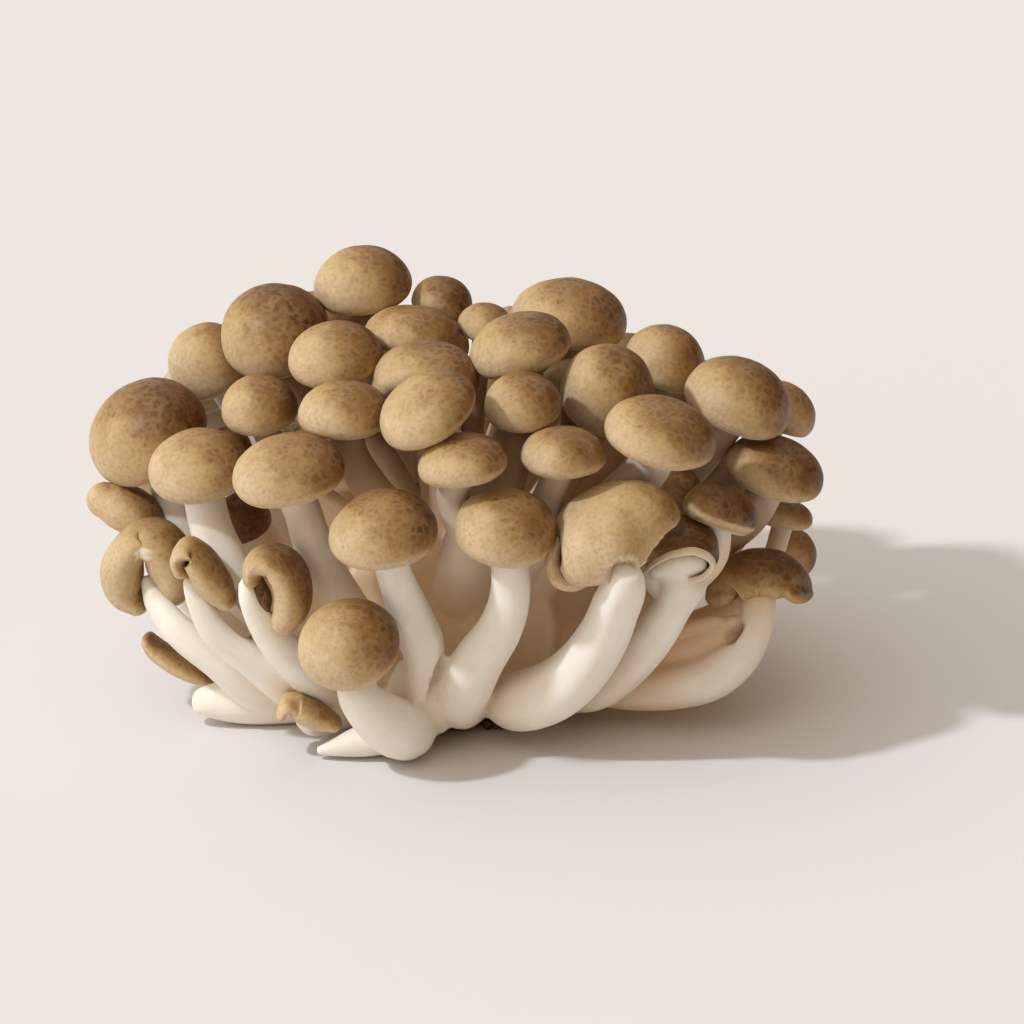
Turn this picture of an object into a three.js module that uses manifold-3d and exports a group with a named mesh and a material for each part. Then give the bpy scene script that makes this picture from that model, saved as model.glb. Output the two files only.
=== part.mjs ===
// A cluster of brown beech mushrooms, as it is cut from its growing block and stood on its base.
// Millimetres, +Z up. The origin is the middle of the flat cut under the base, so the cluster stands on
// Z = 0. The foot, the stems that rise from it and the gills at their tops are one pale body. Each brown cap
// is a piece of its own, which sits over the end of its stem.

import * as THREE from "three";
import { mergeVertices } from "three/addons/utils/BufferGeometryUtils.js";
import Module from "manifold-3d";

const wasm = await Module();
wasm.setup();

// ---- Driving dimensions ----------------------------------------------------------------------------------

// The gap kept between two bodies that press on each other.
const CLEARANCE = 0.35;

// Half section of a cap, from the crown to the middle of the hollow under it. The first number is a share
// of the cap's radius, the second a share of the dome's height above the rim or of the edge's depth below.
const CAP_SECTION = [
  [0, 1],
  [0.52, 0.87],
  [0.88, 0.5],
  [1, 0],
  [0.93, -0.72],
  [0.76, -1],
  [0.64, -0.25],
  [0, -0.2],
];
const DOME_SHARE = 0.7; // of a cap's whole thickness, the part above its widest ring
const HOLLOW = 0.64; // radius of the hollow under a cap, as a share of the cap's
const WOBBLE = 0.03; // how far a cap's rim strays from a true circle

const STEM = {
  topShare: 0.37, // radius at the cap, as a share of the cap's radius
  heel: 4.8, // radius near the foot, for a stem on the outside of the cluster
  innerHeel: 3.4, // the same for the crowded stems inside
  lowRoot: 5, // height where the lowest mushrooms leave the foot
  highRoot: 27, // height where those of the crown do
  rootX: 0.36, // where a stem leaves the foot, as shares of where its cap is
  rootY: 0.42,
};

// The foot: height and share of the full width at each level, up to where the stems have all parted.
const FOOT = {
  halfWidth: 28,
  halfDepth: 18.5,
  folds: 13,
  foldDepth: 0.14,
  top: 38,
  section: [
    [-2, 0.84],
    [5, 1],
    [17, 1],
    [28, 0.88],
    [34, 0.6],
  ],
};

const COLOURS = { cap: 0xa98a5b, pale: 0xefe8dc };

// ---- The mushrooms ---------------------------------------------------------------------------------------
// name, the middle of the cap's widest ring (at), its width, its thickness as a share of that width (tall),
// the way that its crown faces, and what sets it apart from its neighbours:
//   notch [angle, share]      the rim is dented there, where it closes on a stem
//   hang [angle, share]       the rim hangs down at both ends of that angle
//   pressed [angle, share]    flat on that side, beyond that share of its radius
//   root, by                  where its stem leaves the foot, and the points that the stem passes
//   heel                      radius near the foot

const MUSHROOMS = [
  // the front, low enough for its stems to show
  {
    name: "front_01", at: [-17, -37, 22.6], wide: 16, tall: 0.6, facing: [-0.2, -0.5, 0.8],
    root: [-9, -19, 6], by: [[-8.8, -30, 5.4], [-13, -36, 11.5]], heel: 5.4,
  },
  {
    name: "front_02", at: [-11.5, -34, 40.4], wide: 17.6, tall: 0.46, facing: [-0.15, -0.2, 1],
    root: [-6, -16, 6], by: [[-7, -25, 11.5], [-5, -28, 18.5], [-8.5, -31, 28]],
  },
  {
    name: "front_03", at: [7.5, -34, 40.7], wide: 15.9, tall: 0.56, facing: [0.08, -0.25, 1],
    root: [-2, -15, 7], by: [[-1, -26, 9.3], [6, -30, 21]], heel: 5,
  },
  {
    name: "front_04", at: [24.5, -30, 38.3], wide: 22, tall: 0.5, facing: [-0.38, -0.1, 1],
    notch: [-0.9, 0.2], pressed: [3.1, 0.78], heel: 5.6,
    root: [5, -15, 6], by: [[10.5, -26, 7.6], [19, -31, 17], [24.5, -32, 27]],
  },
  {
    name: "front_05", at: [-24.6, -26.5, 6.2], wide: 10.6, tall: 0.52, facing: [-0.2, -0.6, 0.8],
    root: [-12, -14, 6],
  },
  {
    name: "front_06", at: [34, -23, 31], wide: 14.4, tall: 0.5, facing: [0.15, 0.5, 0.85],
    notch: [-1.4, 0.2], root: [8, -14, 6], by: [[21, -22.5, 8], [29, -26, 17.5]],
  },
  { name: "front_07", at: [41.5, -17, 37.5], wide: 12.6, tall: 0.54, facing: [0.3, 0.2, 0.9] },
  {
    name: "front_08", at: [-28.6, -29.5, 28.5], wide: 14.6, tall: 0.6, facing: [0.85, -0.15, 0.4],
    notch: [-1.57, 0.25], root: [-8, -14, 6], by: [[-16.5, -23.5, 11], [-29, -27.5, 19]],
  },
  // the left side
  {
    name: "left_01", at: [-40.3, -25, 29.6], wide: 13, tall: 0.54, facing: [0.6, -0.05, 0.75],
    notch: [-1.9, 0.25], root: [-10, -13, 6], by: [[-21, -21.5, 12], [-34.5, -25, 18.5]],
  },
  {
    name: "left_02", at: [-51, -8.5, 25.4], wide: 16.4, tall: 0.64, facing: [-0.3, 0.35, 0.85],
    notch: [-1.4, 0.3], hang: [0, 0.2], root: [-12, -10, 6], by: [[-26, -17, 6.5], [-40, -17, 14]],
  },
  {
    name: "left_03", at: [-45.5, -7.5, 10], wide: 13, tall: 0.5, facing: [-0.6, -0.2, -0.4],
    root: [-13, -8, 5], by: [[-24, -11, 4.6], [-35, -10, 5]],
  },
  { name: "left_04", at: [-54.2, -2, 32.4], wide: 12.8, tall: 0.55, facing: [-0.5, -0.3, 0.75] },
  {
    name: "left_05", at: [-51, 1, 41.8], wide: 20.6, tall: 0.6, facing: [-0.5, -0.2, 0.9],
    root: [-11, -2, 8], by: [[-27, -3, 13], [-45, 0, 27]],
  },
  {
    name: "left_06", at: [-42, -12, 43.3], wide: 16.4, tall: 0.52, facing: [-0.15, -0.2, 1],
    root: [-9, -11, 8], by: [[-22, -17.5, 13], [-33, -17, 23.5]],
  },
  { name: "left_07", at: [-39.4, 19, 49.8], wide: 13.8, tall: 0.78, facing: [-0.4, -0.1, 0.9] },
  { name: "left_08", at: [-38, 6, 39.8], wide: 8, tall: 0.75, facing: [-0.1, 0, 1] },
  { name: "left_09", at: [-35.5, 0, 29.8], wide: 9.4, tall: 0.75, facing: [-0.4, -0.2, 1] },
  // the shoulder above the front
  {
    name: "shoulder_01", at: [-25, -23.4, 48.4], wide: 17.7, tall: 0.44, facing: [-0.12, -0.15, 1],
    root: [-7, -11, 10], by: [[-14, -17, 18], [-20, -20.5, 28]],
  },
  { name: "shoulder_02", at: [-0.4, -27.5, 51.4], wide: 14.3, tall: 0.45, facing: [-0.12, 0, 1] },
  { name: "shoulder_03", at: [16, -25, 50.4], wide: 13.5, tall: 0.47, facing: [0.03, 0, 1] },
  { name: "shoulder_04", at: [30.8, -20, 52.4], wide: 18, tall: 0.44, facing: [0.22, -0.1, 1] },
  { name: "shoulder_05", at: [-32, -8, 52], wide: 12.6, tall: 0.6, facing: [-0.1, -0.15, 1] },
  { name: "shoulder_06", at: [-19, -15.5, 54], wide: 14.9, tall: 0.47, facing: [0, -0.05, 1] },
  { name: "shoulder_07", at: [-3.8, -21.5, 55.8], wide: 16.4, tall: 0.4, facing: [-0.48, -0.3, 1] },
  { name: "shoulder_08", at: [10.5, -18.5, 56], wide: 12.4, tall: 0.58, facing: [-0.08, -0.2, 1] },
  { name: "shoulder_09", at: [24, -9.5, 54.6], wide: 15, tall: 0.8, facing: [0.1, -0.6, 0.8] },
  // the crown
  { name: "crown_01", at: [-15, 12, 65.4], wide: 15.9, tall: 0.57, facing: [-0.12, -0.1, 1] },
  { name: "crown_02", at: [-30, 8, 57.2], wide: 18.3, tall: 0.66, facing: [-0.2, -0.25, 1] },
  { name: "crown_03", at: [-20.5, -3, 58.2], wide: 15.2, tall: 0.52, facing: [-0.1, -0.15, 1] },
  { name: "crown_04", at: [-6.6, 2.5, 61], wide: 15.5, tall: 0.41, facing: [0, 0.1, 1] },
  {
    name: "crown_05", at: [-5.8, -11, 58.4], wide: 16.5, tall: 0.4, facing: [-0.1, 0.05, 1],
    notch: [-0.6, 0.2],
  },
  { name: "crown_06", at: [8.6, -8, 61.2], wide: 16.4, tall: 0.48, facing: [-0.28, -0.05, 1] },
  { name: "crown_07", at: [1.2, 5.5, 61.2], wide: 9.4, tall: 0.6, facing: [0.2, 0, 1] },
  { name: "crown_08", at: [-3.2, 15, 62.4], wide: 10.6, tall: 0.6, facing: [0.25, 0.1, 1] },
  { name: "crown_09", at: [18, 14, 60], wide: 18.9, tall: 0.5, facing: [0.12, 0, 1] },
  { name: "crown_10", at: [18.6, -2, 54], wide: 9.9, tall: 0.57, facing: [-0.3, -0.1, 1] },
  { name: "crown_11", at: [33.7, 7, 54.4], wide: 13.8, tall: 0.67, facing: [0.3, 0, 1] },
  // the right side
  { name: "right_01", at: [45.4, 0, 50.3], wide: 17.8, tall: 0.54, facing: [0.38, -0.1, 1] },
  { name: "right_02", at: [52, 7, 46.4], wide: 12, tall: 0.62, facing: [0.4, 0.1, 1] },
  { name: "right_03", at: [51, -4, 40.3], wide: 16.2, tall: 0.46, facing: [0.32, -0.1, 1] },
  { name: "right_04", at: [53.4, 3, 29.5], wide: 9.6, tall: 0.42, facing: [0.15, 0.1, 1] },
  {
    name: "right_05", at: [48.8, -10, 21.8], wide: 17, tall: 0.46, facing: [0.3, 0.45, 0.85],
    notch: [-1.7, 0.2], hang: [0.1, 0.1], root: [12, -10, 6], by: [[28, -16, 6.5], [42, -17.5, 10]],
  },
  { name: "right_06", at: [54.8, 8, 21], wide: 9, tall: 0.7, facing: [0.8, 0.2, 0.5] },
  { name: "right_07", at: [34.5, -9.5, 38], wide: 9.6, tall: 0.66, facing: [0.2, -0.2, 1] },
  // the back
  { name: "back_01", at: [-41, 25, 43.5], wide: 17.4, tall: 0.6, facing: [-0.35, 0.35, 1] },
  { name: "back_02", at: [-25, 27, 53], wide: 18.6, tall: 0.58, facing: [-0.15, 0.35, 1] },
  { name: "back_03", at: [-7, 31, 50], wide: 16.4, tall: 0.62, facing: [0, 0.4, 1] },
  { name: "back_04", at: [10.5, 29.5, 50.5], wide: 17.6, tall: 0.56, facing: [0.1, 0.45, 1] },
  { name: "back_05", at: [28, 25, 47], wide: 15.4, tall: 0.64, facing: [0.2, 0.4, 1] },
  { name: "back_06", at: [41.5, 18, 44.5], wide: 16, tall: 0.6, facing: [0.45, 0.3, 0.9] },
  { name: "back_07", at: [-49, 17, 32.5], wide: 15.2, tall: 0.6, facing: [-0.7, 0.35, 0.7] },
  { name: "back_08", at: [-34.5, 33, 36.5], wide: 17.6, tall: 0.58, facing: [-0.4, 0.5, 0.8] },
  { name: "back_09", at: [-16, 41, 38.5], wide: 18.8, tall: 0.6, facing: [-0.15, 0.5, 0.8] },
  { name: "back_10", at: [3, 43.5, 33], wide: 16, tall: 0.66, facing: [0.05, 0.7, 0.8] },
  { name: "back_11", at: [20, 39, 38.5], wide: 17.8, tall: 0.58, facing: [0.25, 0.5, 0.8] },
  { name: "back_12", at: [38, 31, 32.5], wide: 16.4, tall: 0.6, facing: [0.5, 0.5, 0.7] },
  { name: "back_13", at: [51.5, 17.5, 31], wide: 13.6, tall: 0.66, facing: [0.8, 0.3, 0.6] },
  { name: "back_14", at: [-20, 38.5, 17.5], wide: 13.2, tall: 0.64, facing: [-0.4, 0.8, 0.4] },
  { name: "back_15", at: [12.5, 43, 18.5], wide: 14.4, tall: 0.6, facing: [0.15, 0.8, 0.5] },
];

// Stems that broke off short when the cluster was cut: where each starts, where it ends, and both radii.
const STUBS = [
  { from: [-9, -27, 3.4], to: [-23, -30, 1.8], radii: [3.4, 1.2] },
  { from: [-18, -13, 4.4], to: [-44, -15, 4], radii: [4.2, 3.2] },
  { from: [22, -10, 9], to: [42, -13.5, 17.5], radii: [3, 1.4] },
];

// ---- Small helpers ---------------------------------------------------------------------------------------

// Numbers from 0 to 1 that come out alike on each run.
function seeded(seed) {
  let state = seed;
  return () => {
    state = (state + 0x6d2b79f5) | 0;
    let mixed = Math.imul(state ^ (state >>> 15), 1 | state);
    mixed = (mixed + Math.imul(mixed ^ (mixed >>> 7), 61 | mixed)) ^ mixed;
    return ((mixed ^ (mixed >>> 14)) >>> 0) / 4294967296;
  };
}

// A turned surface, closed at both ends, whose points are then put in place by a rule. The rule gets the
// number of the ring (the first and the last are single points), the angle round it and the side's number.
function shaped(rings, sides, place) {
  const outline = Array.from({ length: rings }, (_, ring) => {
    const end = ring === 0 || ring === rings - 1;
    return new THREE.Vector2(end ? 0 : 1, ring);
  });
  const surface = new THREE.LatheGeometry(outline, sides).deleteAttribute("normal").deleteAttribute("uv");
  const points = surface.attributes.position;
  for (let i = 0; i < points.count; i++) {
    const side = Math.floor(i / rings) % sides;
    const point = place(i % rings, (2 * Math.PI * side) / sides, side);
    points.setXYZ(i, point.x, point.y, point.z);
  }
  return surface;
}

// A closed surface as a manifold-3d solid, facing outwards.
function solidOf(surface) {
  const welded = mergeVertices(surface, 1e-4);
  const corners = welded.index.array;
  const kept = [];
  for (let i = 0; i < corners.length; i += 3) {
    const [a, b, c] = corners.slice(i, i + 3);
    if (a !== b && b !== c && c !== a) kept.push([a, b, c]);
  }
  const build = (triangles) =>
    new wasm.Manifold(
      new wasm.Mesh({
        numProp: 3,
        vertProperties: new Float32Array(welded.attributes.position.array),
        triVerts: new Uint32Array(triangles.flat()),
      }),
    );
  const solid = build(kept);
  return solid.volume() > 0 ? solid : build(kept.map(([a, b, c]) => [a, c, b]));
}

function geometryOf(solid) {
  const { vertProperties, triVerts } = solid.getMesh();
  return new THREE.BufferGeometry()
    .setAttribute("position", new THREE.BufferAttribute(new Float32Array(vertProperties), 3))
    .setIndex(new THREE.BufferAttribute(new Uint32Array(triVerts), 1));
}

// ---- Caps ------------------------------------------------------------------------------------------------

// Adds to a mushroom what follows from its entry in the table.
function grown(entry, index) {
  const random = seeded(101 + index);
  const thickness = entry.wide * entry.tall;
  const centre = new THREE.Vector3(...entry.at);
  const outward = Math.hypot(centre.x / 50, centre.y / 36);
  return {
    ...entry,
    radius: entry.wide / 2,
    centre,
    facing: new THREE.Vector3(...entry.facing).normalize(),
    dome: thickness * DOME_SHARE,
    edge: thickness * (1 - DOME_SHARE),
    outer: outward > 0.75 || centre.z < 46,
    phases: [random(), random(), random()].map((share) => share * 2 * Math.PI),
  };
}

const turnOf = (m) => new THREE.Quaternion().setFromUnitVectors(new THREE.Vector3(0, 0, 1), m.facing);
const placeOf = (m) => new THREE.Matrix4().compose(m.centre, turnOf(m), new THREE.Vector3(1, 1, 1));

// The section of one cap in millimetres, as [distance from the axis, height], pushed out by swell.
function capSection(m, swell) {
  const points = CAP_SECTION.map(([out, up]) => [out * m.radius, up * (up > 0 ? m.dome : m.edge)]);
  return points.map(([out, up], i) => {
    if (i === 0) return [0, up + swell];
    if (i === points.length - 1) return [0, up - swell];
    const [before, after] = [points[i - 1], points[i + 1]];
    const along = [after[0] - before[0], after[1] - before[1]];
    const length = Math.hypot(...along);
    return [out - (along[1] / length) * swell, up + (along[0] / length) * swell];
  });
}

// How far the rim stands out at one angle, as a share of the cap's radius.
function rimShare(m, angle) {
  const [first, second, third] = m.phases;
  const uneven = 0.5 * Math.sin(2 * angle + first) + 0.3 * Math.sin(3 * angle + second);
  let share = 1 + WOBBLE * (uneven + 0.2 * Math.sin(5 * angle + third));
  if (m.notch) {
    const off = Math.atan2(Math.sin(angle - m.notch[0]), Math.cos(angle - m.notch[0]));
    share -= m.notch[1] * Math.exp(-((off / 0.5) ** 2));
  }
  return share;
}

// One cap about its own middle, with its crown up.
function capSurface(m, swell = 0) {
  const sides = Math.round(THREE.MathUtils.clamp(m.wide * 0.5 + 4, 9, 14));
  const section = capSection(m, swell);
  return shaped(section.length, sides, (ring, angle) => {
    const [out, up] = section[ring];
    const reach = out * rimShare(m, angle);
    const point = new THREE.Vector3(reach * Math.cos(angle), reach * Math.sin(angle), up);
    if (m.hang) point.z -= m.hang[1] * m.radius * Math.cos(2 * (angle - m.hang[0])) * (out / m.radius) ** 2;
    if (m.pressed) {
      const side = new THREE.Vector3(Math.cos(m.pressed[0]), Math.sin(m.pressed[0]), 0);
      const beyond = point.dot(side) - m.pressed[1] * m.radius;
      if (beyond > 0) point.addScaledVector(side, -0.8 * beyond);
    }
    return point;
  });
}

const capSolid = (m, swell = 0) => solidOf(capSurface(m, swell).applyMatrix4(placeOf(m)));
const middleOf = (m) => m.centre.clone().addScaledVector(m.facing, (m.dome - m.edge) / 2);

// ---- Room between the caps -------------------------------------------------------------------------------
// Caps that would run into each other slide apart as they grow, most easily up or down the front slope.

const SLOPE = new THREE.Vector3(0, 0.94, -0.34);
const ACROSS = 0.4; // share of a push across the slope that is taken up
const ROUNDS = 60;

function makeRoom(mushrooms) {
  const solids = mushrooms.map((m) => capSolid(m, CLEARANCE / 2));
  for (let round = 0; round < ROUNDS; round++) {
    const moved = new Set();
    mushrooms.forEach((a, i) => {
      mushrooms.slice(i + 1).forEach((b, k) => {
        const j = i + 1 + k;
        const between = middleOf(b).sub(middleOf(a));
        if (between.length() > a.radius + b.radius + CLEARANCE) return;
        const pressed = solids[i].intersect(solids[j]).volume();
        if (pressed < 1e-3) return;
        const push = between.normalize().multiplyScalar(0.1 + 0.25 * Math.cbrt(pressed));
        const along = SLOPE.clone().multiplyScalar(push.dot(SLOPE));
        const step = push.sub(along).multiplyScalar(ACROSS).add(along);
        b.centre.add(step);
        a.centre.sub(step);
        moved.add(i).add(j);
      });
    });
    if (moved.size === 0) return;
    for (const i of moved) solids[i] = capSolid(mushrooms[i], CLEARANCE / 2);
  }
}

// ---- Stems and gills -------------------------------------------------------------------------------------

const depthOfHollow = (m) => m.edge * 0.25 + CLEARANCE + 0.12;

// Thick at the heel, slimmer up to the cap, and a little wider again where it meets the cap.
function stemRadius(m, along) {
  const top = m.radius * STEM.topShare;
  const heel = m.heel ?? (m.outer ? STEM.heel : STEM.innerHeel) * Math.min(1, m.radius / 7.5);
  const eased = THREE.MathUtils.smoothstep(along, 0.15, 0.85);
  const flare = 0.25 * THREE.MathUtils.smoothstep(along, 0.88, 1);
  return THREE.MathUtils.lerp(Math.max(heel, top), top, eased) + flare;
}

// A stem leaves the foot outwards and turns up to meet its cap square on. The lower its cap is, the lower it
// leaves the foot and the further it runs out before it turns.
function stemPoints(m) {
  const top = m.centre.clone().addScaledVector(m.facing, -depthOfHollow(m));
  if (m.by) {
    const way = m.by.map((point) => new THREE.Vector3(...point));
    const below = top.clone().addScaledVector(m.facing, -0.6 * m.radius);
    return [new THREE.Vector3(...m.root), ...way, below, top];
  }
  const high = THREE.MathUtils.smoothstep(m.centre.z, 24, 62);
  const rootZ = THREE.MathUtils.lerp(STEM.lowRoot, STEM.highRoot, high);
  const root = m.root ?? [m.centre.x * STEM.rootX, m.centre.y * STEM.rootY, rootZ];
  const start = new THREE.Vector3(...root);
  const way = top.clone().sub(start);
  const outwards = 0.2 + 0.5 * (1 - high);
  const first = start.clone().add(
    new THREE.Vector3(way.x * outwards, way.y * outwards, way.z * (0.05 + 0.35 * high)),
  );
  const second = top.clone().addScaledVector(m.facing, -0.34 * way.length());
  return new THREE.CubicBezierCurve3(start, first, second, top).getPoints(5);
}

// Moves the middle points of a stem out of the caps that are in its way.
function bendClear(points, m, mushrooms) {
  for (let round = 0; round < 12; round++) {
    for (let i = 1; i < points.length - 1; i++) {
      const radius = stemRadius(m, i / (points.length - 1));
      const along = points[i + 1].clone().sub(points[i - 1]).normalize();
      for (const other of mushrooms) {
        if (other === m) continue;
        const from = points[i].clone().sub(middleOf(other));
        const thick = (other.dome + other.edge) / 2 + radius + CLEARANCE;
        const wide = other.radius + radius + CLEARANCE;
        const up = from.dot(other.facing);
        const out = Math.sqrt(Math.max(0, from.lengthSq() - up * up));
        const depth = 1 - Math.hypot(up / thick, out / wide);
        if (depth <= 0) continue;
        const away = from.addScaledVector(along, -from.dot(along)).normalize();
        points[i].addScaledVector(away, Math.min(1, depth * thick));
      }
      points[i].z = Math.max(points[i].z, radius * 0.92);
    }
  }
  return points;
}

// A stem, from its root to the hollow of its cap. An outer one opens there into a ring of gills: ridges that
// hang deepest at the stem and run out to nothing near the cap's edge. A stem has half as many sides as its
// gills have edges, so its own points come in equal pairs.
function stemSurface(m, mushrooms) {
  const sides = m.by ? 8 : m.outer ? 6 : 5;
  const steps = m.by ? 6 : m.outer ? 5 : 4;
  const curve = new THREE.CatmullRomCurve3(bendClear(stemPoints(m), m, mushrooms), false, "centripetal");
  const frames = curve.computeFrenetFrames(steps);
  const top = curve.getPointAt(1);
  const rings = Array.from({ length: steps + 1 }, (_, step) => {
    const radius = stemRadius(m, step / steps);
    return { middle: curve.getPointAt(step / steps), normal: frames.normals[step], radius, drop: [0, 0] };
  });
  const normal = frames.normals[steps].clone().projectOnPlane(m.facing).normalize();
  rings[steps].normal = normal;
  if (m.outer) {
    const [deep, shallow] = [m.edge * 0.7, m.edge * 0.1];
    const neck = stemRadius(m, 1);
    const rim = m.radius * (HOLLOW - 0.08) - CLEARANCE;
    rings[steps].drop = [deep, deep];
    rings.push({ middle: top, normal, radius: neck + 0.5, drop: [deep, shallow], gills: true });
    rings.push({ middle: top, normal, radius: rim, drop: [0.5, 0.1], gills: true });
  }
  return shaped(rings.length + 2, 2 * sides, (ring, angle, side) => {
    if (ring === 0) return curve.getPointAt(0);
    if (ring > rings.length) return top;
    const { middle, normal, radius, drop, gills } = rings[ring - 1];
    const axis = ring > steps ? m.facing : frames.tangents[ring - 1];
    const across = axis.clone().cross(normal);
    const turn = gills ? angle : (2 * Math.PI * Math.floor(side / 2)) / sides;
    return middle
      .clone()
      .addScaledVector(normal, radius * Math.cos(turn))
      .addScaledVector(across, radius * Math.sin(turn))
      .addScaledVector(axis, -drop[side % 2]);
  });
}

function stubSurface({ from, to, radii }) {
  const [start, end] = [new THREE.Vector3(...from), new THREE.Vector3(...to)];
  const turn = new THREE.Quaternion().setFromUnitVectors(
    new THREE.Vector3(0, 0, 1),
    end.clone().sub(start).normalize(),
  );
  const rings = [
    [0, 0],
    [0, radii[0]],
    [0.85, radii[1]],
    [0.96, 0.7 * radii[1]],
    [1, 0],
  ];
  return shaped(rings.length, 7, (ring, angle) => {
    const [along, radius] = rings[ring];
    const across = new THREE.Vector3(radius * Math.cos(angle), radius * Math.sin(angle), 0);
    return start.clone().lerp(end, along).add(across.applyQuaternion(turn));
  });
}

// ---- Foot ------------------------------------------------------------------------------------------------

// The lowest parts of the stems, grown together: a mound with a fold between each stem and the next.
function footSurface() {
  const levels = [FOOT.section[0], ...FOOT.section, [FOOT.top, 0]];
  return shaped(levels.length, 2 * FOOT.folds, (ring, angle, side) => {
    const [up, full] = levels[ring];
    const share = ring === 0 ? 0 : full * (1 - (side % 2) * FOOT.foldDepth);
    return new THREE.Vector3(
      share * FOOT.halfWidth * Math.cos(angle),
      share * FOOT.halfDepth * Math.sin(angle),
      up,
    );
  });
}

// ---- The cluster -----------------------------------------------------------------------------------------

const mushrooms = MUSHROOMS.map(grown);
makeRoom(mushrooms);

// The pale body: foot, stems and gills, cut flat below and clear of every cap.
let pale = solidOf(footSurface());
for (const stub of STUBS) pale = pale.add(solidOf(stubSurface(stub)));
for (const m of mushrooms) pale = pale.add(solidOf(stemSurface(m, mushrooms)));
const ground = new THREE.BoxGeometry(200, 200, 40).translate(0, 0, -20);
pale = pale.subtract(solidOf(ground.deleteAttribute("normal").deleteAttribute("uv")));
for (const m of mushrooms) pale = pale.subtract(capSolid(m, CLEARANCE));

const group = new THREE.Group();
const material = (color) => new THREE.MeshStandardMaterial({ color, roughness: 0.6, metalness: 0 });

const cluster = new THREE.Mesh(geometryOf(pale), material(COLOURS.pale));
cluster.name = "stem_cluster";
group.add(cluster);

for (const m of mushrooms) {
  const cap = new THREE.Mesh(geometryOf(solidOf(capSurface(m))), material(COLOURS.cap));
  cap.name = "cap_" + m.name;
  cap.position.copy(m.centre);
  cap.quaternion.copy(turnOf(m));
  group.add(cap);
}

export default group;
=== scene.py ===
"""A cluster of brown beech mushrooms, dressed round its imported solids. Metres, +Z up, front towards -Y."""

import math
import random

import bmesh
import bpy
import numpy as np
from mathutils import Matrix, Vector, kdtree, noise


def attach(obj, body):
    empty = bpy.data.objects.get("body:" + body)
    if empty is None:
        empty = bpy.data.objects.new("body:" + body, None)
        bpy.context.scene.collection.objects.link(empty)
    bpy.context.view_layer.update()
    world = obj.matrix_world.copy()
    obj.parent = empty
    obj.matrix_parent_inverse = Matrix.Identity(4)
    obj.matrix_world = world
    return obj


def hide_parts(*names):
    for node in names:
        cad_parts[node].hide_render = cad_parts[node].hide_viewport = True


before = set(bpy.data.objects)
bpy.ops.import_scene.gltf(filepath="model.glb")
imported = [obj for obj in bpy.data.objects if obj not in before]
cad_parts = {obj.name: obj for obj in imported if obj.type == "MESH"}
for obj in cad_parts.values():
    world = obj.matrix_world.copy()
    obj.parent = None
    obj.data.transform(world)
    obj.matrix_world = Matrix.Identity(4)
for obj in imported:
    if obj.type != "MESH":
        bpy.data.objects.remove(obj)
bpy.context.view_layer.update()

# ---- Foot and stems ----
# The foot and all the stems grew as one body of firm, damp, white flesh. Fine fibres run along each stem,
# and the stems swell and pinch a little where they pressed on each other.

MM = 0.001
STEM_VOXEL = 0.5 * MM
STEM_FACES = 190000  # triangles
STEM_SIDES = 26
STEM_GAP = 0.9 * MM  # between one ring of a stem and the next
STEM_SWELL = 0.085  # how much a stem swells and pinches along its length
STEM_RIDGES = 0.035  # how high the flat ridges along it are
SWELL_LENGTH = 14 * MM  # from one swelling to the next
RIDGE_LENGTH = 26 * MM
STEM_SEAT = 0.1  # how far a stem's end lies below its cap's widest ring, as a share of the cap's thickness
DOME_SHARE = 0.7  # of a cap's thickness, the part above its widest ring
HOLLOW_SHARE = 0.06  # how far the hollow's middle lies below that ring
NECK_SHARE = 0.37  # a stem's radius at its cap, as a share of the cap's
ROOT_SHARES = (0.36, 0.42)  # where a stem leaves the foot, as shares of its cap's x and y
LOW_CAP = 24  # the height in millimetres of a cap whose stem leans out, and of one whose stem stands up
HIGH_CAP = 62
OUTER_HEEL = 4.8  # a stem's radius at the foot in millimetres, outside and inside the cluster
INNER_HEEL = 3.4
SMALL_CAP = 7.5 * MM  # the stem of a cap with less than this radius has a thinner heel
CLEARANCE = 0.4 * MM  # between a stem and the caps that it bends round
FOOT_FOLDS = 13
FOOT_SIDES = 8 * FOOT_FOLDS
FOOT_HALF_WIDTH = 28  # in millimetres, as is its half depth
FOOT_HALF_DEPTH = 18.5
FOOT_FOLD_DEPTH = 0.14  # how far the folds run in, as a share of the way to the middle
# Its shape from the floor up: the height in millimetres, and the width as a share of the foot's.
FOOT_LEVELS = [(0.2, 0.80), (4, 0.93), (9, 0.97), (17, 0.95), (24, 0.86), (30, 0.66), (35, 0.3)]
FRONT_05_ROOT = Vector((-12, -14, 6)) * MM  # this stem leaves the foot low, under the others
FRONT_06_TOP = 5.4 * MM  # the flesh of this stem spreads wide under its cap
CROWD_HALF_WIDTH = 52  # of the crowd of stems at its widest, in millimetres, as is its half depth
CROWD_HALF_DEPTH = 40

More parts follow.
